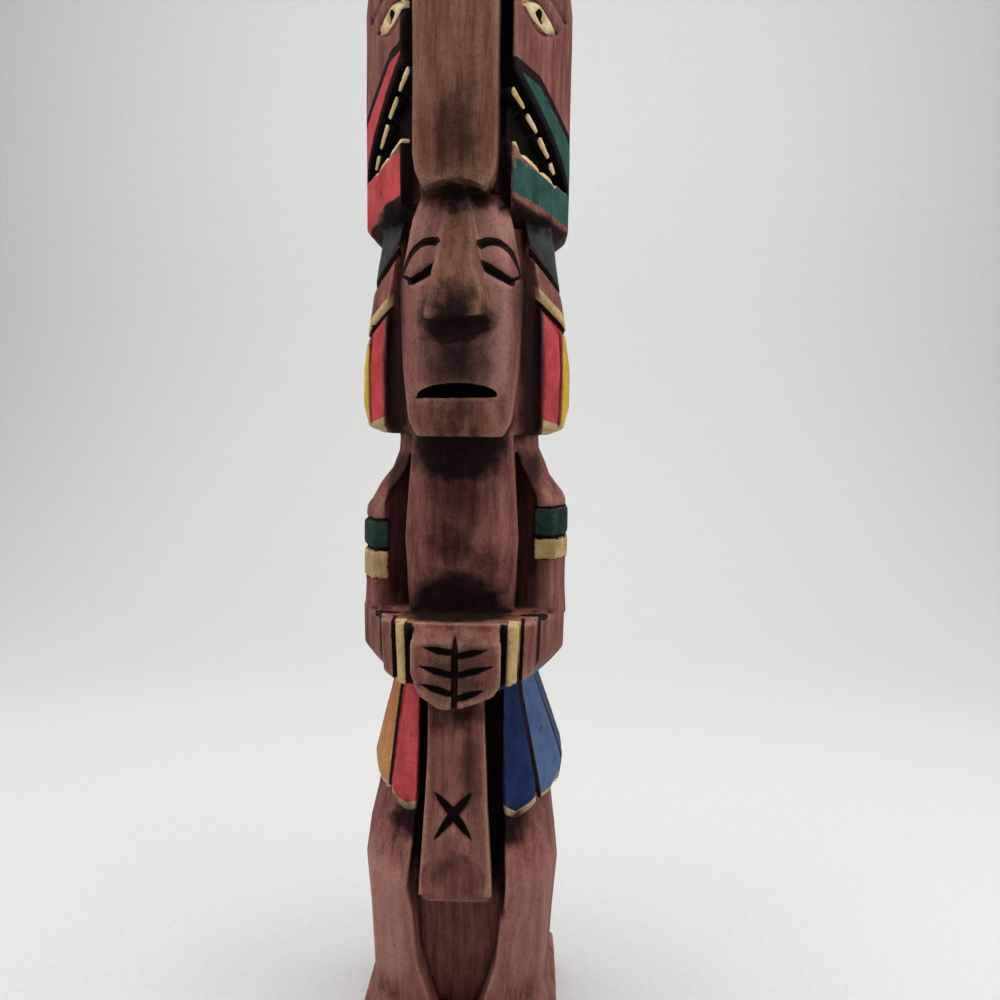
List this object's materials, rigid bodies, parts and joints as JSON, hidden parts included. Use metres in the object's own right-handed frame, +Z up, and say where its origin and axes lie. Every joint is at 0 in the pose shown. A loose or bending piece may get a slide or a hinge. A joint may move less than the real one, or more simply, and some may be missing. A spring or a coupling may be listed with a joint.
{
  "type": "totem pole",
  "caption": "Small carved and painted wooden totem pole: standing figure with folded hands and feather skirt, long face, open-jawed animal head, low base.",
  "frame": {"origin": "centre of the base's underside, on the surface the pole stands on", "axes": "+Z up the pole from the base to the crown, -Y out of its front, +X to the figure's left hand"},
  "size_m": [0.07, 0.0724, 0.38],
  "materials": {
    "stained_wood": "red-brown stain rubbed back on the raised edges, dark in the cuts, satin; parts of it painted"
  },
  "bodies": {
    "root": {"totem_pole": "stained_wood"}
  },
  "joints": []
}
